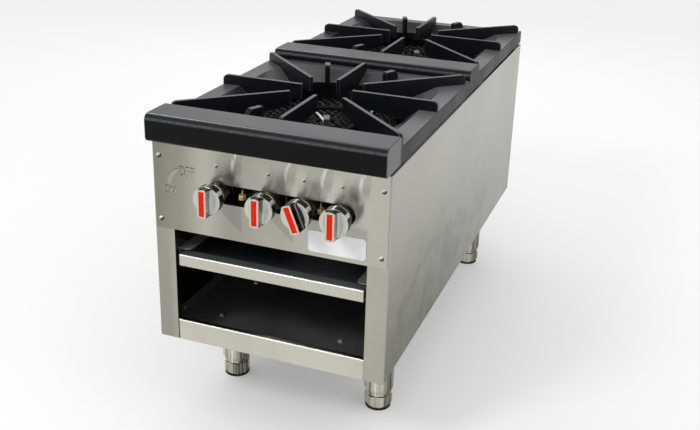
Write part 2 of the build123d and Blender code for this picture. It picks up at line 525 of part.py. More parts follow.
bore = rod_y(0, 0, STEM_Y[0] - 0.5, -HUB_BACK + 1, STEM_R + RUN_FIT) \
    - box(-6, 6, STEM_Y[0] - 1, -14, STEM_FLAT + RUN_FIT, 8)
pocket = box(-INSERT_W / 2, INSERT_W / 2, BAR_FRONT - 1, BAR_FRONT + INSERT_DEEP, -INSERT_L / 2, INSERT_L / 2)
knob -= [bore, pocket]
insert = box(-INSERT_W / 2 + 0.1, INSERT_W / 2 - 0.1, BAR_FRONT, BAR_FRONT + INSERT_DEEP,
             -INSERT_L / 2 + 0.1, INSERT_L / 2 - 0.1)
for i, x in enumerate(KNOB_X):
    at = Pos(x, 0, KNOB_Z) * Rot(0, -KNOB_REST_TURN[i], 0)
    place(f"knob_{i + 1}", at * knob)
    place(f"knob_insert_{i + 1}", at * insert)

# ---- pilot valves and pilot tubes ----
PILOT_BODY = (MANIFOLD_Z - 8, MANIFOLD_Z + 31.3, 7.0)       # underside, top and radius


def pilot_valve(x):
    """Small needle valve screwed into the front of the manifold, with a hexagon tube nut on top."""
    body = rod_z(x, PILOT_Y, PILOT_BODY[0], PILOT_BODY[1] - 8, PILOT_BODY[2]) + [
        rod_y(x, MANIFOLD_Z, PILOT_Y, MANIFOLD_Y - PIPE_BORE, PILOT_NIPPLE_R),
        Pos(x, PILOT_Y, PILOT_BODY[1] - 8) * extrude(RegularPolygon(PILOT_BODY[2] + 0.4, 6), amount=8),
        rod_z(x, PILOT_Y, PILOT_BODY[0] - 4, PILOT_BODY[0], 3.0),
    ]
    return body


place("pilot_valves", group(pilot_valve(x) for x in PILOT_X))
riser_x = PILOT_RISER[0]
front_riser = BURNER_Y - PILOT_RISER[1]
rear_riser = front_riser + PITCH
tip_z = RING_BOTTOM + 12
pilot_front = tube_path([(PILOT_X[0], PILOT_Y, PILOT_BODY[1]), (PILOT_X[0], PILOT_Y, PILOT_RUN_Z),
                         (-riser_x, front_riser, PILOT_RUN_Z), (-riser_x, front_riser, tip_z)],
                        12, PILOT_TUBE_R)
pilot_rear = tube_path([(PILOT_X[1], PILOT_Y, PILOT_BODY[1]), (PILOT_X[1], PILOT_Y, PILOT_RUN_Z),
                        (PILOT_X[1], BAFFLE_Y + 40, PILOT_RUN_Z), (riser_x, BAFFLE_Y + 140, PILOT_RUN_Z),
                        (riser_x, rear_riser, PILOT_RUN_Z), (riser_x, rear_riser, tip_z)],
                       12, PILOT_TUBE_R)
place("pilot_tubes", group([pilot_front, pilot_rear]))

# ---- gas lines from the third and fourth valve to the rear burner ----
line_end = VENTURI_START + PITCH - 12
LINE_BEND = 25.0
lines = []
for x0, x1 in ((KNOB_X[2], -INNER_MIX_X), (KNOB_X[3], -OUTER_MIX_X)):
    line = tube_path([(x0, HOOD_BACK, KNOB_Z), (x0, BAFFLE_Y - 50, KNOB_Z),
                      (x1, BAFFLE_Y + 70, KNOB_Z), (x1, line_end, KNOB_Z)], LINE_BEND, LINE_R)
    line += [rod_y(x1, KNOB_Z, line_end - 16, line_end, 9.0),
             rod_y(x1, KNOB_Z, line_end - 1, line_end + 4, 3.5)]
    lines.append(line)
place("rear_gas_lines", group(lines))


# ---- burners: each ring a casting with raised drilled ports and its own mixer tube ----
def ring_ports(rows):
    """Raised bosses and their drillings on a ring; rows are (radius, count, offset)."""
    bosses, holes = [], []
    for radius, count, offset in rows:
        for k in range(count):
            a = math.radians(offset + 360 * k / count)
            x, y = radius * math.cos(a), radius * math.sin(a)
            bosses.append(Pos(x, y, RING_TOP - 0.5) * Cone(4.6, 3.4, PORT_PROUD + 0.5,
                                                           align=(Align.CENTER, Align.CENTER, Align.MIN)))
            holes.append(rod_z(x, y, RING_TOP - 2, RING_TOP + PORT_PROUD + 1, 1.5))
    return bosses, holes


def mixer(x, riser_y):
    """Mixer tube from its open mouth to the riser under the ring; y from the burner centre."""
    y0 = VENTURI_START - BURNER_Y
    outer = rod_y(x, KNOB_Z, y0, riser_y, VENTURI_R) + [
        turned_y([(0, y0), (VENTURI_R + 6, y0), (VENTURI_R + 6, y0 + 4), (VENTURI_R, y0 + 12),
                  (0, y0 + 12)], x, KNOB_Z),
        Pos(x, riser_y, KNOB_Z) * Sphere(VENTURI_R),
        rod_z(x, riser_y, KNOB_Z, RING_BOTTOM + 1, VENTURI_R - 3),
    ]
    inner_r = VENTURI_R - VENTURI_WALL
    hollow = [rod_y(x, KNOB_Z, y0 - 1, riser_y, inner_r - 2),
              rod_z(x, riser_y, KNOB_Z, RING_BOTTOM - 2, inner_r - 5)]
    return outer, hollow


outer_body = turned_z([(OUTER_RING[0], RING_BOTTOM), (OUTER_RING[1], RING_BOTTOM),
                       (OUTER_RING[1], RING_TOP - 4), (OUTER_RING[1] - 4, RING_TOP),
                       (OUTER_RING[0] + 4, RING_TOP), (OUTER_RING[0], RING_TOP - 4)], 0, 0)
ring_mid = sum(OUTER_RING) / 2
tube, hollow = mixer(OUTER_MIX_X, -math.sqrt(ring_mid ** 2 - OUTER_MIX_X ** 2))
bosses, holes = ring_ports([(ring_mid - 12, 36, 0), (ring_mid, 40, 4.5), (ring_mid + 12, 44, 0)])
reach = (OUTER_RING[1] - 17, RAIL_IN + ARM_LAP)
ears = [box(a, b, y - 10, y + 10, RAIL_Z[1], RING_BOTTOM + 8)
        for a, b in (reach, (-reach[1], -reach[0])) for y in (-42, 42)]
outer_burner = outer_body + [tube] + ears + bosses - hollow - holes
inner_body = turned_z([(INNER_RING[0], RING_BOTTOM), (INNER_RING[1], RING_BOTTOM),
                       (INNER_RING[1], RING_TOP - 4), (INNER_RING[1] - 4, RING_TOP),
                       (INNER_RING[0] + 4, RING_TOP), (INNER_RING[0], RING_TOP - 4)], 0, 0)
inner_mid = sum(INNER_RING) / 2
tube, hollow = mixer(INNER_MIX_X, -math.sqrt(inner_mid ** 2 - INNER_MIX_X ** 2))
bosses, holes = ring_ports([(inner_mid - 9, 12, 0), (inner_mid, 16, 8), (inner_mid + 9, 20, 0)])
arm_root = INNER_RING[0] + 8
arms = [box(a, b, -9, 9, RAIL_Z[1], RING_BOTTOM - 0.5)
        for a, b in ((-reach[1], -arm_root), (arm_root, reach[1]))]
arms += [box(a, b, -9, 9, RAIL_Z[1], RING_BOTTOM + 4)
         for a, b in ((1 - INNER_RING[1], -arm_root), (arm_root, INNER_RING[1] - 1))]
inner_burner = inner_body + [tube] + arms + bosses - hollow - holes
place("burner_outer_front", Pos(0, BURNER_Y, 0) * outer_burner)
place("burner_inner_front", Pos(0, BURNER_Y, 0) * inner_burner)
place("burner_outer_rear", Pos(0, BURNER_Y + PITCH, 0) * mirror_x(outer_burner))
place("burner_inner_rear", Pos(0, BURNER_Y + PITCH, 0) * mirror_x(inner_burner))

# ---- grate casting: ledge, dished plate, ribs and lugs; y from the rib centre ----
y_ledge = LEDGE_FRONT - BURNER_Y
y_rear = y_ledge + PITCH - CASTING_GAP
y_top = y_ledge + LEDGE_DEEP
y_base = y_top + LEDGE_SLOPE
block = along_x([(y_ledge, GRATE_BOTTOM), (y_ledge, LEDGE_TOP), (y_top, LEDGE_TOP), (y_base, PLATE_TOP),
                 (y_rear, PLATE_TOP), (y_rear, GRATE_BOTTOM)], -GRATE_HW, GRATE_HW)


def edges_at(shape, y, z):
    """The straight edges along X at one (y, z)."""
    return [e for e in shape.edges().filter_by(Axis.X)
            if abs(e.center().Y - y) < 0.01 and abs(e.center().Z - z) < 0.01]


block = fillet(edges_at(block, y_ledge, LEDGE_TOP), LEDGE_ROUND)
block = fillet(edges_at(block, y_ledge, GRATE_BOTTOM), 8)
block = chamfer([e for e in block.edges().filter_by(Axis.Y)
                 if abs(e.center().Z - PLATE_TOP) < 0.01 or abs(e.center().Z - LEDGE_TOP) < 0.01], 1.6)
hollow_block = along_x([(y_ledge + WALL, GRATE_BOTTOM - 1), (y_ledge + WALL, LEDGE_TOP - WALL),
                        (y_top - 3, LEDGE_TOP - WALL), (y_base - 3, PLATE_TOP - WALL),
                        (y_rear - WALL, PLATE_TOP - WALL), (y_rear - WALL, GRATE_BOTTOM - 1)],
                       -GRATE_HW + WALL, GRATE_HW - WALL)


def dish(z_top):
    """The space over the dished plate, from its outer edge down to the burner opening."""
    return loft([Pos(0, 0, z_top) * RectangleRounded(*DISH),
                 Pos(0, 0, z_top - DISH_DROP) * RectangleRounded(*HOLE)], ruled=True)


opening = Pos(0, 0, PLATE_TOP - 60) * extrude(RectangleRounded(*HOLE), amount=80)
casting = block - hollow_block + dish(PLATE_TOP - WALL)
casting = casting - dish(PLATE_TOP) - opening


def rib(angle, r_in, r_out, r_hole, r_bend):
    """Long rib that carries the pot; its foot runs in the plate, down the dish and over the opening."""
    low = PLATE_TOP - WALL / 2
    at_hole = low - DISH_DROP
    face = make_face(Polyline([(r_in, 0, RIB_TOP), (r_out, 0, RIB_TOP), (r_out, 0, low), (r_bend, 0, low),
                               (r_hole, 0, at_hole), (r_in, 0, at_hole + 14)], close=True))
    solid = extrude(face, amount=RIB_T / 2, both=True)
    end = [e for e in solid.edges().filter_by(Axis.Y)
           if abs(e.center().X - r_out) < 0.01 and abs(e.center().Z - RIB_TOP) < 0.01]
    return Rot(0, 0, angle) * fillet(end, RIB_NOSE)


def corner_reach(width, depth, corner, angle):
    """From the middle of a rounded rectangle to its corner arc, along a slanting line."""
    along, across = math.cos(math.radians(angle)), math.sin(math.radians(angle))
    x, y = width / 2 - corner, depth / 2 - corner
    return x * along + y * across + math.sqrt(corner ** 2 - (x * across - y * along) ** 2)


def lug(angle):
    """Short block at the edge of the opening."""
    r0 = HOLE[1] / 2 - 2
    r1 = r0 + LUG_L
    low = PLATE_TOP - WALL / 2
    face = make_face(Polyline([(r0, 0, low - DISH_DROP), (r0, 0, RIB_TOP - 5),
                               (r0 + 3, 0, RIB_TOP - 2), (r1 - 9, 0, RIB_TOP - 2),
                               (r1, 0, RIB_TOP - 11), (r1, 0, low - 2)], close=True))
    return Rot(0, 0, angle) * extrude(face, amount=LUG_T / 2, both=True)


CORNER = (GRATE_HW - 5, DISH_L / 2 + 2)      # outer ends of the corner ribs
corner_angle = math.degrees(math.atan2(CORNER[1], CORNER[0]))
corner_r = math.hypot(*CORNER)
RIB_IN = (53.0, 59.0, 78.0)                  # inner ends of the side, end and corner ribs
hole_r, bend_r = corner_reach(*HOLE, corner_angle), corner_reach(*DISH, corner_angle)
ribs = [rib(a, RIB_IN[0], GRATE_HW - 1.5, HOLE[0] / 2, DISH[0] / 2) for a in (0, 180)]
ribs += [rib(a, RIB_IN[1], DISH_L / 2 + 8, HOLE[1] / 2, DISH[1] / 2) for a in (90, 270)]
ribs += [rib(a, RIB_IN[2], corner_r, hole_r, bend_r)
         for a in (corner_angle, 180 - corner_angle, 180 + corner_angle, 360 - corner_angle)]
lugs = [lug(a) for a in (LUG_ANGLE, 180 - LUG_ANGLE, 180 + LUG_ANGLE, 360 - LUG_ANGLE)]
pads = [box(s * (GRATE_HW - 4) - 3.5, s * (GRATE_HW - 4) + 3.5, y - 20, y + 20, BODY_TOP, GRATE_BOTTOM + 1)
        for s in (-1, 1) for y in (24 - DISH_L / 2, DISH_L / 2 - 24)]
casting = casting + ribs + lugs + pads
place("grate_front", Pos(0, BURNER_Y, 0) * casting)
place("grate_rear", Pos(0, BURNER_Y + PITCH, 0) * casting)
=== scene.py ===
import math

import bpy
from mathutils import Matrix, Vector


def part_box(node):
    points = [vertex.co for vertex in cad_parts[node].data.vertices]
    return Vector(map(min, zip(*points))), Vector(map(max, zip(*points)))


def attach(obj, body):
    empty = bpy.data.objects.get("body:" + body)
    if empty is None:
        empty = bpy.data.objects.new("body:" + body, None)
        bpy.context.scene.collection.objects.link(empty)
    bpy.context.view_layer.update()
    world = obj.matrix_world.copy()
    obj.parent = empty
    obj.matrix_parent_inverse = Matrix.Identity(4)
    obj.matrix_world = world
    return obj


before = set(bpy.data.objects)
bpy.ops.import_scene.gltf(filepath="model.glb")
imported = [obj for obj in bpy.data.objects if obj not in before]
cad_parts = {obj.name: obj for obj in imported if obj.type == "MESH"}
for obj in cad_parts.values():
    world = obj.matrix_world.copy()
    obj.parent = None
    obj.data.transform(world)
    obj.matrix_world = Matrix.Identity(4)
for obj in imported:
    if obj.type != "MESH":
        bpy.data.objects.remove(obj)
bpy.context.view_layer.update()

# --------------------------------------------------------------------------------------------------
# The photographer's place: a camera in front of the range and a little to its right, above the
# castings and looking down. The picture is shifted, so that the lens's axis is above its middle.
photo_width, photo_height = 700, 430
focal_px, axis_row_px = 964.5, 190.0
sensor_width = 36.0
camera_place = (0.67161, -1.93870, 1.14368)
yaw, pitch, roll = math.radians(20.00), math.radians(-21.72), math.radians(1.73)
camera_data = bpy.data.cameras.new("camera")
camera_data.sensor_width = sensor_width
camera_data.lens = sensor_width * focal_px / photo_width
camera_data.shift_y = (axis_row_px - photo_height / 2) / photo_width
camera = bpy.data.objects.new("camera", camera_data)
bpy.context.scene.collection.objects.link(camera)
camera.location = camera_place
camera.rotation_euler = (Matrix.Rotation(yaw, 3, "Z") @ Matrix.Rotation(math.pi / 2 + pitch, 3, "X")
                         @ Matrix.Rotation(roll, 3, "Z")).to_euler()
bpy.context.scene.camera = camera


# --------------------------------------------------------------------------------------------------
# The studio: a pale floor and a white surround, which metal reflects as the camera sees it. Its
# light is dimmer below and in front, as a room is behind a photographer. A small soft box stands at
# the upper left, a large one behind the range for the tops of the castings, and one at the right.
class Signal:
    """A socket of a shader tree. Arithmetic on it adds Math nodes; add() makes any other node."""

    def __init__(self, tree, socket=None):
        self.tree = tree
        self.socket = socket

    def add(self, kind, settings=None, inputs=None, output=0):
        """A node of any kind, with its settings and the values or links of its sockets."""
        node = self.tree.nodes.new("ShaderNode" + kind)
        for name, value in (settings or {}).items():
            setattr(node, name, value)
        for name, value in (inputs or {}).items():
            if isinstance(value, Signal):
                self.tree.links.new(value.socket, node.inputs[name])
            else:
                node.inputs[name].default_value = value
        return Signal(self.tree, node.outputs[output] if node.outputs else None)

    def math(self, operation, *others):
        """A Math node on this value and the others that it takes."""
        return self.add("Math", {"operation": operation}, dict(enumerate((self, *others))))

    def __add__(self, other):
        return self.math("ADD", other)

    __radd__ = __add__

    def __mul__(self, other):
        return self.math("MULTIPLY", other)

    __rmul__ = __mul__

    def __sub__(self, other):
        return self.math("SUBTRACT", other)

    def __rsub__(self, other):
        return self.add("Math", {"operation": "SUBTRACT"}, {0: other, 1: self})

    def __abs__(self):
        return self.math("ABSOLUTE")

    def axis(self, k):
        """One coordinate of a vector."""
        return self.add("SeparateXYZ", inputs={0: self}, output=k)

    def ramp(self, low, high, at_low=0.0, at_high=1.0):
        """Smooth change from one value to another between two limits."""
        return self.add("MapRange", {"interpolation_type": "SMOOTHSTEP"}, {
            "Value": self, "From Min": low, "From Max": high, "To Min": at_low, "To Max": at_high})


def seen_directly(s):
    """1 for a ray from the camera, a reflection or glass, and 0 for soft light."""
    from_camera, reflected, through = (s.add("LightPath", output=ray) for ray in (
        "Is Camera Ray", "Is Glossy Ray", "Is Transmission Ray"))
    return from_camera.math("MAXIMUM", reflected.math("MAXIMUM", through))


def surface(name):
    """A new material and the start of its node tree."""
    material = bpy.data.materials.new(name)
    material.use_nodes = True
    material.node_tree.nodes.clear()
    return material, Signal(material.node_tree)


def close(material, shader):
    """Joins a finished shader to the material's output."""
    shader.add("OutputMaterial", inputs={"Surface": shader})
    return material


white = (1.0, 1.0, 1.0, 1.0)
world = bpy.data.worlds.new("studio")
bpy.context.scene.world = world
world.use_nodes = True
world.node_tree.nodes.clear()
air = Signal(world.node_tree)
heading = air.add("TexCoord", output="Generated")
room = heading.axis(2).ramp(-0.2, 0.7, 0.72, 0.92) * heading.axis(1).ramp(-0.9, 0.4, 0.9, 1.0)
seen = seen_directly(air)
surround = air.add("Background", inputs={"Color": white, "Strength": room + seen - room * seen})
air.add("OutputWorld", inputs={"Surface": surround})

bpy.context.scene.view_settings.view_transform = "Standard"

for name, stand, aim, size, power in (
        ("softbox_left", (-1.15, -2.6, 2.6), (0, -0.3, 0.3), 0.7, 30.0),
        ("softbox_back", (-0.9, 2.6, 1.9), (0, 0, 0.6), 1.8, 8.0),
        ("softbox_right", (2.8, -0.6, 2.4), (0, 0, 0.3), 1.6, 8.0)):
    lamp = bpy.data.lights.new(name, "AREA")
    lamp.size = size
    lamp.energy = power
    softbox = bpy.data.objects.new(name, lamp)
    bpy.context.scene.collection.objects.link(softbox)
    softbox.location = stand
    softbox.rotation_euler = (Vector(aim) - Vector(stand)).to_track_quat("-Z", "Y").to_euler()

floor_size, floor_grey, floor_glow = 16, 0.74, 0.22
bpy.ops.object.select_all(action="DESELECT")
bpy.ops.mesh.primitive_plane_add(size=floor_size, location=(0, 0, 0))
floor = bpy.context.object
floor.name = "studio_floor"
pale_floor, s = surface("pale_floor")
matt = s.add("BsdfDiffuse", inputs={"Color": (floor_grey, floor_grey, floor_grey, 1.0)})
glow = s.add("Emission", inputs={"Color": white, "Strength": seen_directly(s) * floor_glow})
floor.data.materials.append(close(pale_floor, s.add("AddShader", inputs={0: matt, 1: glow})))


# --------------------------------------------------------------------------------------------------
# The side panels, back, bottom rail and control panel are 1.2 mm stainless sheet, folded and
# screwed together, with a fine brushed grain along them and the soft clouds that polishing leaves.
def dress(material, *names):
    """Gives CAD nodes their finish."""
    for name in names:
        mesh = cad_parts[name].data
        mesh.materials.clear()
        mesh.materials.append(material)


def noise(s, place, scale, detail, rough=0.5, turn=0.0, swirl=0.0):
    """Random clouds. scale is a number, or three for a stretch along X, Y and Z, turned about X."""
    if isinstance(scale, tuple):
        place = s.add("Mapping", inputs={"Vector": place, "Scale": scale,
                                         "Rotation": (math.radians(turn), 0.0, 0.0)})
        scale = 1.0
    return s.add("TexNoise", inputs={"Vector": place, "Scale": scale, "Detail": detail,
                                     "Roughness": rough, "Distortion": swirl})


def between(signal, low, high, soft):
    """1 between two limits and 0 outside them, with soft ends."""
    return signal.ramp(low - soft, low + soft) * signal.ramp(high - soft, high + soft, 1.0, 0.0)


def tint(s, factor, first, second):
    """A colour between two colours; each is a tuple or a socket."""
    first, second = (end if isinstance(end, Signal) else (*end, 1.0) for end in (first, second))
    return s.add("Mix", {"data_type": "RGBA"}, {"Factor": factor, "A": first, "B": second},
                 output="Result")


def shade(colour, factor):
    """A colour made darker or lighter."""
    return tuple(c * factor for c in colour)


def rounded(s, radius, samples=4):
    """The normal of a surface whose edges are rounded off."""
    return s.add("Bevel", {"samples": samples}, {"Radius": radius})


def bump(s, height, strength, distance=0.0002, normal=None):
    """The normal of a surface with a small relief, over rounded edges where they are given."""
    inputs = {"Height": height, "Strength": strength, "Distance": distance}
    if normal:
        inputs["Normal"] = normal
    return s.add("Bump", inputs=inputs)


def sheet(name, colour, grain, rough, brushed=0.0, edge=0.0009, wear=0.07, metal=1.0, relief=0.06,
          stain_or_light=None):
    """Metal with scratches: grain is how fine they are, or three numbers for a stretch along X, Y
    and Z, relief is their depth, and brushed how far they draw out reflections. edge is the radius
    of its folds, wear how much its colour varies, metal how bare it is, and the last argument
    colours it from place to place with stains, or with painted light and shade."""
    material, s = surface(name)
    place = s.add("TexCoord", output="Object")
    lines = noise(s, place, grain, 3.0, 0.7)
    clouds = noise(s, place, 5.5, 2.0)
    smears = noise(s, place, 31.0, 5.0, 0.62)
    tone = (lines * 0.35 + clouds * 0.4 + smears * 0.25).ramp(0.32, 0.68)
    paint = tint(s, tone, shade(colour, 1 - wear), shade(colour, 1 + wear))
    if stain_or_light:
        paint = stain_or_light(s, place, clouds, paint)
    return close(material, s.add("BsdfPrincipled", inputs={
        "Base Color": paint, "Metallic": metal(place) if callable(metal) else metal,
        "Roughness": clouds.ramp(0.3, 0.7, rough - 0.04, rough + 0.04) + (smears - 0.5) * 0.12,
        "Normal": bump(s, lines, relief, normal=rounded(s, edge)),
        "Anisotropic": brushed, "Anisotropic Rotation": 0.25}))


def side_shade_and_smudges(s, place, clouds, paint):
    """The outside of the side panels is painted darker towards the lower front corner, as painted
    shade, and yellowed towards the front; it is smudged low down, where knees and mops touch it. The
    left front post is painted a little darker."""
    painted_low_shade, yellowed, left_post_dark = (0.030, 0.028, 0.008), (0.38, 0.36, 0.20), (0.02, 0.018, 0.0)
    dark_smudge, light_smudge = (0.07, 0.072, 0.045), (0.80, 0.80, 0.74)
    across, along, height = (place.axis(k) for k in range(3))
    # Painted shade: darker towards the bottom and the front.
    low_shade = (height + clouds * 0.09).ramp(0.20, 0.58, 1.0, 0.0)
    low_shade = low_shade * along.ramp(-0.45, 0.5, 1.0, 0.45) * along.ramp(-0.516, -0.508)
    paint = tint(s, low_shade * 0.72, paint, painted_low_shade)
    paint = tint(s, along.ramp(-0.5, 0.3, 0.10, 0.0), paint, yellowed)
    smudges = noise(s, place, (1.0, 11.0, 17.0), 6.0, 0.62, turn=35.0, swirl=0.6)
    low_down = (height + clouds * 0.12).ramp(0.30, 0.52, 1.0, 0.0)
    low_down = low_down * along.ramp(-0.512, -0.49) * along.ramp(-0.15, 0.40, 1.0, 0.3)
    paint = tint(s, smudges.ramp(0.46, 0.60) * low_down * 0.36, paint, dark_smudge)
    paint = tint(s, smudges.ramp(0.44, 0.34) * low_down * 0.05, paint, light_smudge)
    # The left front post is painted a little darker.
    left_post = across.ramp(-0.21, -0.18, 1.0, 0.0) * along.ramp(-0.512, -0.508, 1.0, 0.0)
    return tint(s, left_post * 0.25, paint, left_post_dark)


def panel_painted_light(s, place, clouds, paint):
    """Painted light and shade on the control panel: darker to the left and lighter to the right,
    with a warm painted sheen at its upper left and painted shade along its left edge. Over each
    knob, on its right, is a painted reflection of the knob, dark with a light rim and a painted
    highlight streak; below each knob a painted shadow falls to the lower right."""
    black, pale, painted_sheen_warm = (0.0, 0.0, 0.0), (1.0, 1.0, 0.95), (1.0, 0.98, 0.88)
    reflected_knob_dark, knob_shadow_dark = (0.03, 0.036, 0.038), (0.03, 0.03, 0.025)
    reflected_rim_light, highlight_streak_light = (0.74, 0.77, 0.76), (0.95, 0.96, 0.95)
    across, height = place.axis(0), place.axis(2)
    streak_breaks = noise(s, place, (260.0, 1.0, 34.0), 2.0)
    # Painted light: darker to the left, lighter to the right, a painted sheen at the upper left and
    # painted shade along the left edge.
    paint = tint(s, across.ramp(-0.23, 0.2), tint(s, 0.24, paint, black),
                 tint(s, 0.14, paint, pale))
    paint = tint(s, between(across, -0.150, -0.100, 0.035) * 0.20, paint, painted_sheen_warm)
    paint = tint(s, across.ramp(-0.226, -0.185, 0.16, 0.0), paint, black)
    for knob in (1, 2, 3, 4):
        low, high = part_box("knob_insert_%d" % knob)
        right, up = across - (low[0] + high[0]) / 2, height - (low[2] + high[2]) / 2
        leaning = right - (up * 0.13 + (clouds - 0.5) * 0.012)
        over = between(leaning, -0.006, 0.044, 0.0022) * up.ramp(0.020, 0.046)
        over = over * up.ramp(0.046, 0.076, 1.0, 0.0)
        rim = between(leaning, 0.000, 0.044, 0.0022) * up.ramp(0.020, 0.026)
        rim = rim * up.ramp(0.030, 0.052, 1.0, 0.0)
        beside = between(leaning, 0.031, 0.044, 0.0022) * up.ramp(0.040, 0.060)
        under = between(right, 0.004, 0.048, 0.002) * (right + up * 1.15).ramp(-0.036, -0.029)
        under = under * up.ramp(-0.086, -0.070) * up.ramp(-0.024, -0.016, 1.0, 0.0)
        bend = (up - 0.058) * (up - 0.058) * 9.0
        streak = between(leaning - bend, 0.0235, 0.0285, 0.0032) * up.ramp(0.036, 0.056)
        streak = streak * streak_breaks.ramp(0.34, 0.5)
        # Painted reflection of the knob with its painted highlights, and the knob's painted shadow
        # below it.
        paint = tint(s, over * 0.26, paint, reflected_knob_dark)
        paint = tint(s, rim * 0.12, paint, reflected_rim_light)
        paint = tint(s, beside * 0.10, paint, reflected_knob_dark)
        paint = tint(s, under * 0.2, paint, knob_shadow_dark)
        paint = tint(s, streak * 0.42, paint, highlight_streak_light)
    return paint


def fold_highlight(node):
    """Paints a highlight, as a light line, along the fold of a sheet's upper front edge."""
    fold_width, soft = 0.0024, 0.0004
    low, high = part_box(node)
    back, foot = low[1] + fold_width, high[2] - fold_width

    def stain_or_light(s, place, clouds, paint):
        highlight_line = place.axis(2).ramp(foot - soft, foot + soft)
        highlight_line = highlight_line * place.axis(1).ramp(back, back + 2 * soft, 1.0, 0.0)
        return tint(s, highlight_line, paint, (0.96, 0.96, 0.94))
    return stain_or_light


def rail_finish(s, place, clouds, paint):
    """A painted highlight along the fold of the bottom rail, and the dark open joint where its left
    end meets the post."""
    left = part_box("bottom_front_rail")[0][0]
    joint = place.axis(0).ramp(left + 0.0018, left + 0.0024, 1.0, 0.0)
    paint = fold_highlight("bottom_front_rail")(s, place, clouds, paint)
    return tint(s, joint * 0.95, paint, (0.006, 0.006, 0.006))


grain_across, grain_along = (5.0, 900.0, 900.0), (900.0, 5.0, 900.0)
side_steel = sheet("side_steel", (0.40, 0.39, 0.350), grain_along, 0.36, brushed=0.85,
                   stain_or_light=side_shade_and_smudges)
front_steel = sheet("front_steel", (0.342, 0.329, 0.272), grain_across, 0.20, brushed=1.0,
                    relief=0.45, stain_or_light=panel_painted_light)
rail_steel = sheet("rail_steel", (0.53, 0.515, 0.448), grain_across, 0.36, brushed=0.85,
                   edge=0.0013, stain_or_light=rail_finish)
dress(side_steel, "side_panel_left", "side_panel_right", "back_panel")
dress(front_steel, "control_panel")
dress(rail_steel, "bottom_front_rail")


# --------------------------------------------------------------------------------------------------
# The turning marks beside the knobs, OFF above and ON below with a sweep between them, are pressed
# out of the control panel from behind and stand a fraction of a millimetre proud.
def relief_painted_light(s, place, clouds, paint):
    """Painted shade on the marks' upper left slopes and painted light on their lower right ones."""
    facing = s.add("NewGeometry", output="Normal")
    slope = facing.axis(0) * 0.75 - facing.axis(2) * 0.65
    paint = tint(s, slope.ramp(-0.36, -0.06, 1.0, 0.0), paint, (0.020, 0.020, 0.016))
    return tint(s, slope.ramp(0.30, 0.50), paint, (0.62, 0.60, 0.52))


def make_mesh():
    """Makes the text or curve in hand a mesh, and puts its place and turn into the mesh."""
    bpy.ops.object.convert(target="MESH")
    bpy.ops.object.transform_apply(location=True, rotation=True, scale=True)


mark_steel = sheet("mark_steel", (0.325, 0.312, 0.262), grain_across, 0.30, edge=0.0002,
                   stain_or_light=relief_painted_light)
panel_face = -0.5176
standing = (math.pi / 2, 0, 0)
letter_size, letter_gap, letter_inset, letter_slope = 0.0235, 1.12, -0.0004, 0.0011
sweep_slope, mark_core = 0.0006, 0.0001
# Each word with its lower left and upper right corners, across and up the panel.
words = (("OFF", (-0.1765, 0.5136), (-0.1430, 0.5340)), ("ON", (-0.2079, 0.4750), (-0.1835, 0.4922)))
marks = []
for word, low, high in words:
    bpy.ops.object.select_all(action="DESELECT")
    bpy.ops.object.text_add(location=(0, 0, 0), rotation=standing)
    mark = bpy.context.object
    mark.data.body = word
    mark.data.size = letter_size
    mark.data.space_character = letter_gap
    mark.data.offset = letter_inset
    mark.data.extrude = mark_core
    mark.data.bevel_depth = letter_slope
    mark.data.bevel_resolution = 0
    make_mesh()
    xs, zs = ([vertex.co[k] for vertex in mark.data.vertices] for k in (0, 2))
    wide, tall = (high[0] - low[0]) / (max(xs) - min(xs)), (high[1] - low[1]) / (max(zs) - min(zs))
    mark.data.transform(Matrix.Translation((low[0], panel_face, low[1]))
                        @ Matrix.Diagonal((wide, 1, tall, 1))
                        @ Matrix.Translation((-min(xs), 0, -min(zs))))
    marks.append(mark)
# Each knot of the sweep's outline with its two handles, across and up the panel.
sweep_knots = (((-0.2000, 0.4962), (-0.1975, 0.4945), (-0.2005, 0.5110)),
               ((-0.1765, 0.5282), (-0.1870, 0.5270), (-0.1752, 0.5262)),
               ((-0.1782, 0.5205), (-0.1762, 0.5225), (-0.1840, 0.5170)),
               ((-0.1925, 0.4975), (-0.1915, 0.5070), (-0.1945, 0.4950)))
bpy.ops.object.select_all(action="DESELECT")
bpy.ops.curve.primitive_bezier_circle_add(radius=1, location=(0, 0, 0))
sweep = bpy.context.object
sweep.data.dimensions = "2D"
sweep.data.fill_mode = "BOTH"
sweep.data.extrude = mark_core
sweep.data.bevel_depth = sweep_slope
sweep.data.bevel_resolution = 0
for knot, at_and_handles in zip(sweep.data.splines[0].bezier_points, sweep_knots):
    knot.handle_left_type = knot.handle_right_type = "FREE"
    knot.co, knot.handle_left, knot.handle_right = ((*flat, 0.0) for flat in at_and_handles)
sweep.rotation_euler = standing
make_mesh()
sweep.data.transform(Matrix.Translation((0, panel_face, 0)))
marks.append(sweep)
for mark in marks:
    mark.data.materials.clear()
    mark.data.materials.append(mark_steel)
    mark.select_set(True)
bpy.context.view_layer.objects.active = marks[0]
bpy.ops.object.join()
marks[0].name = "turning_marks"
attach(marks[0], "range")

# --------------------------------------------------------------------------------------------------
# The name plate is a thin aluminium plate with rounded corners, enamelled off-white and left blank,
# stuck to the control panel.
plate_white, s = surface("plate_white")
film = noise(s, s.add("TexCoord", output="Object"), 18.0, 3.0)
close(plate_white, s.add("BsdfPrincipled", inputs={
    "Base Color": tint(s, film.ramp(0.3, 0.7), (0.84, 0.85, 0.85), (0.88, 0.885, 0.88)),
    "Roughness": film.ramp(0.3, 0.7, 0.22, 0.30), "Normal": rounded(s, 0.0004)}))
dress(plate_white, "name_plate")

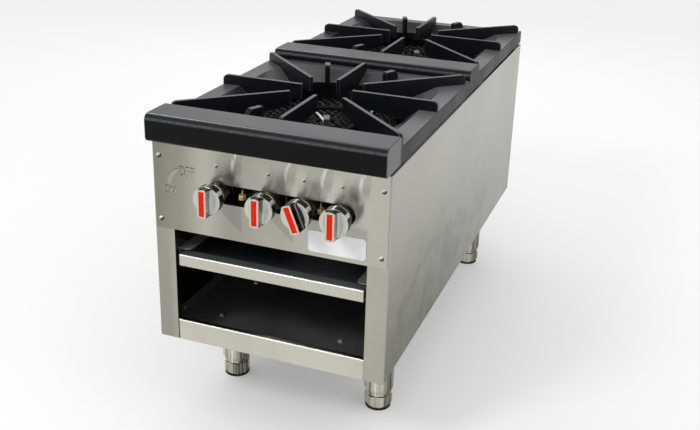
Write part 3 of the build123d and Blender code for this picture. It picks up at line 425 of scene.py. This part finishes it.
# --------------------------------------------------------------------------------------------------
# The base pan, leg plates, channels, burner rails and heat shields are dull folded sheet, screwed
# and riveted inside the body, that has darkened with heat and grease.
pan_grey, s = surface("pan_grey")
place = s.add("TexCoord", output="Object")
haze = noise(s, place, 6.0, 5.0, 0.6)
speck = noise(s, place, 240.0, 3.0, 0.6)
close(pan_grey, s.add("BsdfPrincipled", inputs={
    "Base Color": tint(s, haze.ramp(0.3, 0.7), (0.078, 0.080, 0.080), (0.118, 0.120, 0.118)),
    "Metallic": 0.25, "Roughness": haze.ramp(0.3, 0.7, 0.42, 0.55), "Normal": bump(s, speck, 0.1)}))
dress(pan_grey, "base_pan")
dull_sheet = sheet("dull_sheet", (0.055, 0.058, 0.064), 40.0, 0.42, wear=0.3)
dress(dull_sheet, "leg_plates", "front_channel", "rear_channel", "burner_rail_left",
      "burner_rail_right", "heat_shield_left", "heat_shield_right", "middle_baffle")


# --------------------------------------------------------------------------------------------------
# The legs are turned steel tubes on plates under the body, and the feet hexagon bars whose stems
# screw up into the legs, to level the range. Both are brushed round and polished.
def leg_painted_reflections(s, place, clouds, paint):
    """Painted reflections on each leg and foot: a bright streak in front, dark ones to either side,
    and darker streaks up and down, partly polish and partly painted reflection.
    """
    facing = s.add("NewGeometry", output="Normal")
    round_side = facing.axis(0) * 0.94 + facing.axis(1) * 0.34
    streaks = noise(s, place, (210.0, 210.0, 4.0), 2.0)
    dark_reflection = round_side.ramp(0.12, 0.5) * 0.55 + between(round_side, -0.66, -0.52, 0.04) * 0.4
    dark_reflection = dark_reflection + (0.5 - streaks).ramp(-0.12, 0.16) * 0.4
    bright = between(round_side, -0.30, -0.19, 0.04)
    paint = tint(s, dark_reflection.ramp(0.0, 1.0), paint, (0.055, 0.052, 0.032))
    return tint(s, bright * 0.8, paint, (0.95, 0.94, 0.88))


turned_steel = sheet("turned_steel", (0.66, 0.635, 0.525), (25.0, 25.0, 1100.0), 0.28, brushed=0.85,
                     edge=0.001, stain_or_light=leg_painted_reflections)
corners = ("front_left", "front_right", "rear_left", "rear_right")
for corner in corners:
    dress(turned_steel, "leg_" + corner, "foot_" + corner)


# --------------------------------------------------------------------------------------------------
# Each foot has a black plastic glide round its lower end, a thin moulded ring pushed on over the
# metal, which keeps it off the floor.
def round_over(piece, width):
    """Rounds the edges of the piece in hand with a small bevel."""
    bevel = piece.modifiers.new("round_over", "BEVEL")
    bevel.width = width
    bevel.segments = 2
    bpy.ops.object.modifier_apply(modifier="round_over")


glide_black, s = surface("glide_black")
grit = noise(s, s.add("TexCoord", output="Object"), 300.0, 3.0)
close(glide_black, s.add("BsdfPrincipled", inputs={
    "Base Color": tint(s, grit.ramp(0.3, 0.7), (0.004, 0.004, 0.0045), (0.012, 0.012, 0.013)),
    "Roughness": grit.ramp(0.3, 0.7, 0.5, 0.65), "Specular IOR Level": 0.2,
    "Normal": bump(s, grit, 0.2)}))
glide_radius, glide_height, glide_wall, off_floor = 0.0263, 0.0048, 0.004, 0.0002
for corner in corners:
    low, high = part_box("foot_" + corner)
    bpy.ops.object.select_all(action="DESELECT")
    bpy.ops.mesh.primitive_cylinder_add(
        vertices=64, radius=glide_radius, depth=glide_height, end_fill_type="NOTHING",
        location=((low[0] + high[0]) / 2, (low[1] + high[1]) / 2, glide_height / 2 + off_floor))
    glide = bpy.context.object
    glide.name = "foot_glide_" + corner
    bpy.ops.object.transform_apply(location=True, rotation=True, scale=True)
    wall = glide.modifiers.new("wall", "SOLIDIFY")
    wall.thickness = glide_wall
    wall.offset = -1.0
    wall.use_even_offset = True
    bpy.ops.object.modifier_apply(modifier="wall")
    round_over(glide, 0.0008)
    bpy.ops.object.shade_smooth_by_angle(angle=math.radians(40))
    glide.data.materials.append(glide_black)
    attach(glide, "foot_" + corner)


# --------------------------------------------------------------------------------------------------
# The screws, bolts, rivets and valve stems are bright plated steel. Screws hold the panels; heads
# carry painted shade on their lower right slopes, and the bolts and rivets inside the storage bay
# painted shade on their rear and right sides.
def head_painted_shade(s, place, clouds, paint):
    """Painted shade on the lower right slope of each head."""
    facing = s.add("NewGeometry", output="Normal")
    slope = facing.axis(0) * 0.6 - facing.axis(2) * 0.8
    return tint(s, slope.ramp(-0.10, 0.04), paint, (0.010, 0.010, 0.009))


def bolt_painted_light(s, place, clouds, paint):
    """Painted shade on the rear and right sides of the heads, which are dark; crowns and fronts are
    left bright.
    """
    facing = s.add("NewGeometry", output="Normal")
    outward = facing.axis(2).math("MAXIMUM", abs(facing.axis(0)))
    lit_part = (outward - facing.axis(1) * 0.9 - facing.axis(0) * 0.3).ramp(0.70, 0.90)
    return tint(s, lit_part, (0.012, 0.012, 0.012), paint)


bright_steel = sheet("bright_steel", (0.90, 0.90, 0.87), 300.0, 0.2, edge=0.0003, metal=0.35,
                     stain_or_light=head_painted_shade)
dress(bright_steel, "back_panel_screws", "control_panel_screws", "small_panel_screws",
      "valve_stem_1", "valve_stem_2", "valve_stem_3", "valve_stem_4")
zinc_steel = sheet("zinc_steel", (0.98, 0.98, 0.98), 300.0, 0.2, edge=0.0003, metal=0.8,
                   stain_or_light=bolt_painted_light)
dress(zinc_steel, "floor_bolts", "pan_side_rivets")

# --------------------------------------------------------------------------------------------------
# The drip tray and its runners are folded stainless sheet. The runners hang inside the body, and
# the tray slides on them and is pulled out by its folded lip.
lip_back, flange_back = (-0.5104, -0.5098), (-0.4902, -0.4894)


def tray_inside(place):
    """0 on the lip, most on the flange behind it and 1 inside the tray."""
    return place.axis(1).ramp(*lip_back) * 0.92 + place.axis(1).ramp(*flange_back) * 0.08


def tray_shade_and_highlight(s, place, clouds, paint):
    """Painted shade inside: lighter near the front and near black towards the back. The folded lip
    has a painted highlight along its upper edge.
    """
    inside_shade = tint(s, place.axis(1).ramp(-0.50, -0.37), (0.072, 0.080, 0.096), (0.008, 0.010, 0.013))
    return tint(s, tray_inside(place), fold_highlight("drip_tray")(s, place, clouds, paint), inside_shade)


tray_steel = sheet("tray_steel", (0.50, 0.49, 0.425), grain_across, 0.34, brushed=0.8,
                   edge=0.0013, metal=lambda place: 1.0 - tray_inside(place) * 0.9, stain_or_light=tray_shade_and_highlight)
dress(tray_steel, "drip_tray")
runner_steel = sheet("runner_steel", (0.30, 0.30, 0.29), grain_along, 0.45, metal=0.6)
dress(runner_steel, "tray_runner_left", "tray_runner_right")


# --------------------------------------------------------------------------------------------------
# The gas train: pipe in black iron, with brass valves screwed into the manifold, bright tubes to
# the rear burner, brass tubes to the pilots, and dark bronze rings round the necks of the valves.
def darker_below_nut(s, place, clouds, paint):
    """The valve body below the tube nut is darker; the nut is bright."""
    nut_height = 0.0084
    nut_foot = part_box("pilot_valves")[1][2] - nut_height
    bright = place.axis(2).ramp(nut_foot - 0.0004, nut_foot + 0.0002)
    return tint(s, bright, (0.030, 0.021, 0.010), paint)


def worn_edges(s, soft_edge):
    """How far the rounded normal of an edge turns away from the face beside it: 0 on the flat."""
    face = s.add("NewGeometry", output="True Normal")
    return 1.0 - s.add("VectorMath", {"operation": "DOT_PRODUCT"}, {0: soft_edge, 1: face},
                       output="Value")


def rubbed_corners(s, place, clouds, paint):
    """The oxide is rubbed off along the corners, which shine as thin golden lines."""
    worn = worn_edges(s, rounded(s, 0.0008, samples=6))
    return tint(s, worn.ramp(0.04, 0.2), paint, (0.80, 0.58, 0.26))


pipe_black = sheet("pipe_black", (0.03, 0.03, 0.03), 60.0, 0.45, wear=0.3)
dress(pipe_black, "manifold_pipe", "supply_pipe")
brass = sheet("brass", (0.98, 0.76, 0.34), 120.0, 0.28, edge=0.0008, wear=0.2, metal=0.35,
              stain_or_light=darker_below_nut)
dress(brass, "pilot_valves")
dull_brass = sheet("dull_brass", (0.034, 0.023, 0.010), 120.0, 0.3, edge=0.0008, wear=0.35,
                   stain_or_light=rubbed_corners)
dress(dull_brass, "gas_valve_1", "gas_valve_2", "gas_valve_3", "gas_valve_4")
dark_bronze = sheet("dark_bronze", (0.022, 0.017, 0.010), 120.0, 0.3, edge=0.0008, wear=0.2,
                    stain_or_light=rubbed_corners)
dress(dark_bronze, "bezel_rings")
tube_metal = sheet("tube_metal", (0.66, 0.66, 0.65), 90.0, 0.3)
dress(tube_metal, "rear_gas_lines")
tube_brass = sheet("tube_brass", (0.50, 0.37, 0.17), 90.0, 0.3, wear=0.2)
dress(tube_brass, "pilot_tubes")

# --------------------------------------------------------------------------------------------------
# The burners are rings of bare sand-cast iron with drilled ports, dark grey and slightly rusty, and
# lie on the burner rails.
burner_iron, s = surface("burner_iron")
place = s.add("TexCoord", output="Object")
sand = noise(s, place, 520.0, 4.0, 0.7)
rust = noise(s, place, 38.0, 5.0, 0.65)
close(burner_iron, s.add("BsdfPrincipled", inputs={
    "Base Color": tint(s, rust.ramp(0.45, 0.8), (0.0018, 0.0018, 0.0021), (0.009, 0.0075, 0.007)),
    "Roughness": rust.ramp(0.3, 0.7, 0.45, 0.62), "Specular IOR Level": 0.2,
    "Normal": bump(s, sand, 0.3, 0.0006, normal=rounded(s, 0.001))}))
dress(burner_iron, "burner_outer_front", "burner_outer_rear", "burner_inner_front",
      "burner_inner_rear")

# --------------------------------------------------------------------------------------------------
# The flash tube is a short white ceramic-coated tube that lies over the inner ring of the front
# burner, with its ends bent down inside and outside the ring, and carries the pilot flame across.
flash_white, s = surface("flash_white")
scorch = noise(s, s.add("TexCoord", output="Object"), 130.0, 3.0)
close(flash_white, s.add("BsdfPrincipled", inputs={
    "Base Color": tint(s, scorch.ramp(0.35, 0.75), (0.90, 0.89, 0.86), (0.70, 0.66, 0.58)),
    "Roughness": scorch.ramp(0.3, 0.7, 0.3, 0.45)}))
tube_radius = 0.0022
tube_route = ((-0.0352, -0.2100, 0.5460), (-0.0347, -0.2112, 0.5630), (-0.0306, -0.2200, 0.5702),
              (-0.0085, -0.2479, 0.5708), (0.0082, -0.2718, 0.5702), (0.0127, -0.2775, 0.5630),
              (0.0129, -0.2780, 0.5460))
bpy.ops.object.select_all(action="DESELECT")
bpy.ops.curve.primitive_nurbs_path_add(radius=1, location=(0, 0, 0))
flash_tube = bpy.context.object
flash_tube.name = "flash_tube"
run = flash_tube.data.splines[0]
run.points.add(len(tube_route) - len(run.points))
for point, at in zip(run.points, tube_route):
    point.co = (*at, 1.0)
run.order_u = 3
run.use_endpoint_u = True
flash_tube.data.bevel_depth = tube_radius
flash_tube.data.bevel_resolution = 4
flash_tube.data.use_fill_caps = True
flash_tube.data.resolution_u = 8
make_mesh()
bpy.ops.object.shade_smooth_by_angle(angle=math.radians(50))
flash_tube.data.materials.clear()
flash_tube.data.materials.append(flash_white)
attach(flash_tube, "range")

# --------------------------------------------------------------------------------------------------
# A small bright cheese-head screw with a sawn slot closes the casting hole in the top of the front
# burner's outer ring.
screw_x, screw_y, screw_z = 0.0715, -0.1655, 0.5680
screw_radius, screw_height, slot_half, slot_depth = 0.0052, 0.009, 0.0007, 0.0012
bpy.ops.object.select_all(action="DESELECT")
bpy.ops.mesh.primitive_cylinder_add(vertices=32, radius=screw_radius, depth=screw_height,
                                    location=(screw_x, screw_y, screw_z))
ring_screw = bpy.context.object
ring_screw.name = "burner_ring_screw"
bpy.ops.object.transform_apply(location=True, rotation=True, scale=True)
bpy.ops.object.mode_set(mode="EDIT")
for side in (-slot_half, slot_half):
    bpy.ops.mesh.select_all(action="SELECT")
    bpy.ops.mesh.bisect(plane_co=(screw_x + side, screw_y, screw_z), plane_no=(1, 0, 0))
bpy.ops.mesh.select_all(action="DESELECT")
bpy.ops.object.mode_set(mode="OBJECT")
for face in ring_screw.data.polygons:
    face.select = face.normal.z > 0.9 and abs(face.center.x - screw_x) < slot_half
bpy.ops.object.mode_set(mode="EDIT")
bpy.ops.mesh.extrude_region_move(TRANSFORM_OT_translate={"value": (0, 0, -slot_depth)})
bpy.ops.object.mode_set(mode="OBJECT")
round_over(ring_screw, 0.0003)
bpy.ops.object.shade_smooth_by_angle(angle=math.radians(35))
ring_screw.data.materials.append(bright_steel)
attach(ring_screw, "range")

# --------------------------------------------------------------------------------------------------
# The grates are loose iron castings in satin black enamel, with the orange peel of the sand mould,
# and lie on the body. Faces that look up carry a thin grey film of dust and a painted sheen; the
# ledge front has painted shade, and the ledge roundings, ends, plate and worn edges painted light.
satin_black, front_shade_black = (0.0048, 0.0064, 0.0086), (0.0016, 0.0018, 0.0020)
dust_and_sheen_grey, plate_light_grey, end_light_grey = (0.085, 0.090, 0.093), (0.135, 0.14, 0.142), (0.165, 0.169, 0.166)
rounding_reflection_grey, glint_grey, worn_and_lit_grey = (0.088, 0.094, 0.100), (0.47, 0.475, 0.47), (0.25, 0.255, 0.255)
front_ledge, rear_ledge = (-0.5450, -0.5300), (0.0020, 0.0170)
plate_levels = (0.60, 0.622)
black_enamel, s = surface("black_enamel")
place = s.add("TexCoord", output="Object")
across, along, height = (place.axis(k) for k in range(3))
up = s.add("NewGeometry", output="Normal").axis(2)
peel = noise(s, place, 330.0, 3.0, 0.6)
waves = noise(s, place, 40.0, 2.0)
dust = noise(s, place, 9.0, 5.0, 0.6)
# Faces that look up are lighter: a film of dust, and a painted sheen.
film = up.ramp(0.7, 0.99) * dust.ramp(0.25, 0.75, 0.75, 1.0) * along.ramp(-0.1, 0.1, 1.0, 0.36)
# Painted shade: the front face of the front ledge is darker.
front = along.ramp(-0.5426, -0.5418, 1.0, 0.0)
enamel = tint(s, film, tint(s, front, satin_black, front_shade_black), dust_and_sheen_grey)
ledge_edge = between(along, *front_ledge, 0.0004) + between(along, *rear_ledge, 0.0004)
# Painted reflection along each ledge's rounding, and a painted highlight where it leaves the top.
rounding_reflection = ledge_edge * between(up, 0.15, 0.45, 0.10)
enamel = tint(s, rounding_reflection * peel.ramp(0.36, 0.64, 0.4, 1.0), enamel, rounding_reflection_grey)
glint = ledge_edge * between(up, 0.92, 0.97, 0.02) * across.ramp(-0.20, 0.16, 1.0, 0.25)
enamel = tint(s, glint * peel.ramp(0.36, 0.64, 0.5, 1.0), enamel, glint_grey)
# Painted light on the right of the plate, and on the end faces of the front ledge.
plate_light = between(height, *plate_levels, 0.001) * across.ramp(0.0, 0.2) * up.ramp(0.7, 0.99)
enamel = tint(s, plate_light * 0.6, enamel, plate_light_grey)
end_light = abs(across).ramp(0.2258, 0.2262) * height.ramp(0.578, 0.582)
end_light = end_light * along.ramp(-0.4790, -0.4650, 1.0, 0.0)
enamel = tint(s, end_light * dust.ramp(0.25, 0.7, 0.7, 1.0), enamel, end_light_grey)
soft_edge = rounded(s, 0.0015, samples=6)
# Edges are lighter, partly wear and partly painted highlight.
worn_and_lit_edges = worn_edges(s, soft_edge).ramp(0.03, 0.2) * peel.ramp(0.35, 0.6, 0.5, 1.0)
close(black_enamel, s.add("BsdfPrincipled", inputs={
    "Base Color": tint(s, worn_and_lit_edges * 0.85, enamel, worn_and_lit_grey),
    "Roughness": dust.ramp(0.3, 0.75, 0.36, 0.46), "Specular IOR Level": 0.12,
    "Normal": bump(s, peel * 0.5 + waves, 0.25, 0.0006, normal=soft_edge)}))
dress(black_enamel, "grate_front", "grate_rear")

# --------------------------------------------------------------------------------------------------
# The knobs are plated zinc castings pushed on the valve stems: a polished skirt and grip, and a
# face and bar top with a satin finish. A red plastic strip is let into the bar.
knob_face, bar_top, skirt_back = -0.5584, -0.5754, -0.5414
bar_half, scoop_across, scoop_along = 0.0075, 0.0105, 0.0235
satin_plate, skirt_plate = (0.56, 0.545, 0.485), (0.80, 0.80, 0.78)
crease_highlight, bar_end_reflection = (0.75, 0.75, 0.73), (0.012, 0.012, 0.014)
# The skirt carries bands of painted reflection: from and to how many degrees, and how bright. Knobs:
# the degrees that each is turned by, and how bright the painted reflection on the sides of its bar
# is.
skirt_reflection_bands = ((-75.0, 25.0, 0.030), (42.0, 90.0, 0.008), (98.0, 154.0, 0.12))
knob_looks = ((1, 0.0, 0.85), (2, 0.0, 0.85), (3, -22.0, 0.06), (4, 0.0, 0.85))
for knob, turn, flank_reflection in knob_looks:
    low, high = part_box("knob_insert_%d" % knob)
    middle = ((low[0] + high[0]) / 2, 0.0, (low[2] + high[2]) / 2)
    knob_metal, s = surface("knob_metal_%d" % knob)
    centred = s.add("Mapping", {"vector_type": "TEXTURE"}, {
        "Vector": s.add("TexCoord", output="Object"), "Location": middle})
    place = s.add("Mapping", {"vector_type": "TEXTURE"}, {
        "Vector": centred, "Rotation": (0.0, math.radians(turn), 0.0)})
    across, depth, along = (place.axis(k) for k in range(3))
    reach = (across * across + along * along).math("SQRT")
    on_face = depth.math("COMPARE", knob_face, 0.0004).math(
        "MAXIMUM", depth.math("LESS_THAN", bar_top + 0.0004))
    bar_end = between(depth, bar_top + 0.001, knob_face - 0.002, 0.0004)
    bar_end = reach.ramp(0.0246, 0.0252) * bar_end
    aside = abs(across) - bar_half
    oval = aside * aside * (1 / scoop_across ** 2) + along * along * (1 / scoop_along ** 2)
    scoop_reflection = on_face * oval.ramp(0.94, 1.04, 1.0, 0.0) * depth.ramp(bar_top + 0.001, bar_top + 0.002)
    crease = between(across, 0.0100, 0.0112, 0.0005)
    crease = crease * depth.ramp(knob_face - 0.0012, knob_face - 0.0006, 1.0, 0.0)
    skirt = depth.ramp(knob_face + 0.0002, knob_face + 0.0008)
    middle_band = between(depth, knob_face + 0.0012, skirt_back - 0.0003, 0.0003)
    degrees = centred.axis(2).math("ARCTAN2", centred.axis(0)) * (180 / math.pi)
    brush = noise(s, place, (1500.0, 1500.0, 60.0), 3.0)
    haze = noise(s, place, 60.0, 3.0)
    # Painted reflections: dark scoops beside the bar and along its root, a light crease, a dark bar
    # end, and bands round the skirt.
    root = (1.0 - on_face) * aside.ramp(0.0002, 0.0014)
    plate = tint(s, on_face, (flank_reflection, flank_reflection, flank_reflection * 0.97), satin_plate)
    plate = tint(s, scoop_reflection.math("MAXIMUM", root), plate, (flank_reflection * 0.42, flank_reflection * 0.43, flank_reflection * 0.40))
    plate = tint(s, crease * 0.3, plate, crease_highlight)
    plate = tint(s, bar_end, plate, bar_end_reflection)
    plate = tint(s, skirt, plate, skirt_plate)
    for start, stop, tone in skirt_reflection_bands:
        plate = tint(s, middle_band * between(degrees, start, stop, 1.5), plate,
                     (tone, tone, tone * 1.03))
    roughness = (on_face - scoop_reflection * 0.6) * 0.32 + haze.ramp(0.3, 0.7, 0.10, 0.15) + skirt * 0.08
    close(knob_metal, s.add("BsdfPrincipled", inputs={
        "Base Color": plate, "Metallic": 1.0 - skirt * 0.5, "Roughness": roughness,
        "Normal": bump(s, brush * on_face, 0.10, normal=rounded(s, 0.0007))}))
    dress(knob_metal, "knob_%d" % knob)
red_strip, s = surface("red_strip")
fleck = noise(s, s.add("TexCoord", output="Object"), 90.0, 3.0)
close(red_strip, s.add("BsdfPrincipled", inputs={
    "Base Color": tint(s, fleck.ramp(0.3, 0.7), (0.76, 0.012, 0.000), (0.84, 0.018, 0.001)),
    "Roughness": fleck.ramp(0.3, 0.7, 0.4, 0.5), "Specular IOR Level": 0.08,
    "Normal": rounded(s, 0.0006)}))
dress(red_strip, "knob_insert_1", "knob_insert_2", "knob_insert_3", "knob_insert_4")
